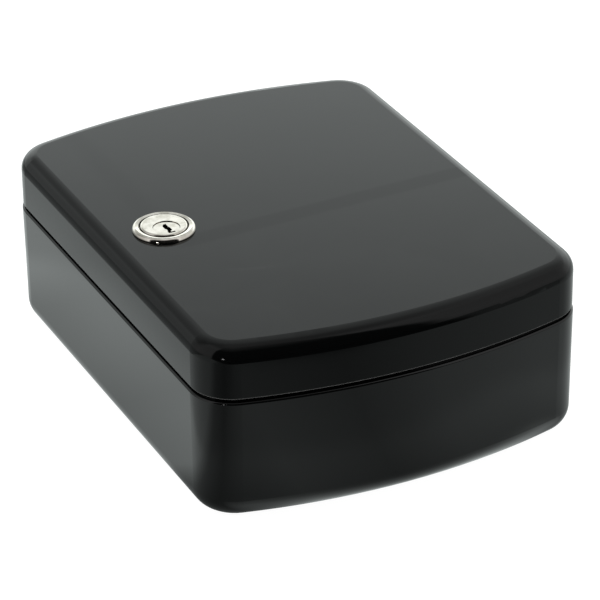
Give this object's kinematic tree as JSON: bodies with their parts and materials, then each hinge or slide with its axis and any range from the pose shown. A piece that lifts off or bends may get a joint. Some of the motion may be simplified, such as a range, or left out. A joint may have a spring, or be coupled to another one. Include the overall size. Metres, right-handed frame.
{
  "type": "lockable key cabinet",
  "caption": "Deep-drawn steel key cabinet with bowed ends, a side-hinged lift-over door, a cylinder cam lock and numbered hook rails inside.",
  "frame": {"origin": "middle of the four wall-screw holes, on the back face", "axes": "+Z out through the door, +Y up when hung on a wall, -X the lock side, +X the hinge side"},
  "size_m": [0.1536, 0.2006, 0.072],
  "materials": {
    "black_paint": "smooth satin-gloss black powder coat",
    "nickel_plate": "polished nickel plate",
    "zinc_plated_steel": "bright zinc plate",
    "brass": "turned",
    "spring_steel": "drawn wire",
    "white_label": "matt self-adhesive film"
  },
  "bodies": {
    "cabinet": {"body_shell": "black_paint", "body_hinge_leaf": "black_paint", "hinge_pin": "zinc_plated_steel", "hook_rail_1": "black_paint", "hook_rail_2": "black_paint", "hook_rail_3": "black_paint", "hook_rail_4": "black_paint", "number_label_1": "white_label", "number_label_2": "white_label", "number_label_3": "white_label", "number_label_4": "white_label", "strike_plate": "black_paint"},
    "door": {"door_shell": "black_paint", "door_hinge_leaf": "black_paint", "lock_housing": "nickel_plate", "lock_face_cap": "nickel_plate", "lock_washer": "zinc_plated_steel", "lock_nut": "zinc_plated_steel", "driver_pins": "brass", "pin_springs": "spring_steel", "chamber_plugs": "brass"},
    "lock_barrel": {"lock_plug": "nickel_plate", "key_pins": "brass", "stop_washer": "zinc_plated_steel", "lock_cam": "zinc_plated_steel", "cam_screw": "zinc_plated_steel"}
  },
  "joints": [
    {"name": "door_swing", "type": "hinge", "parent": "cabinet", "child": "door", "pos_m": [0.0762, 0, 0.049], "axis": [0, 1, 0], "range_deg": [0, 180]},
    {"name": "lock_turn", "type": "hinge", "parent": "door", "child": "lock_barrel", "pos_m": [-0.0504, -0.002, 0.062], "axis": [0, 0, 1], "range_deg": [0, 90]}
  ]
}
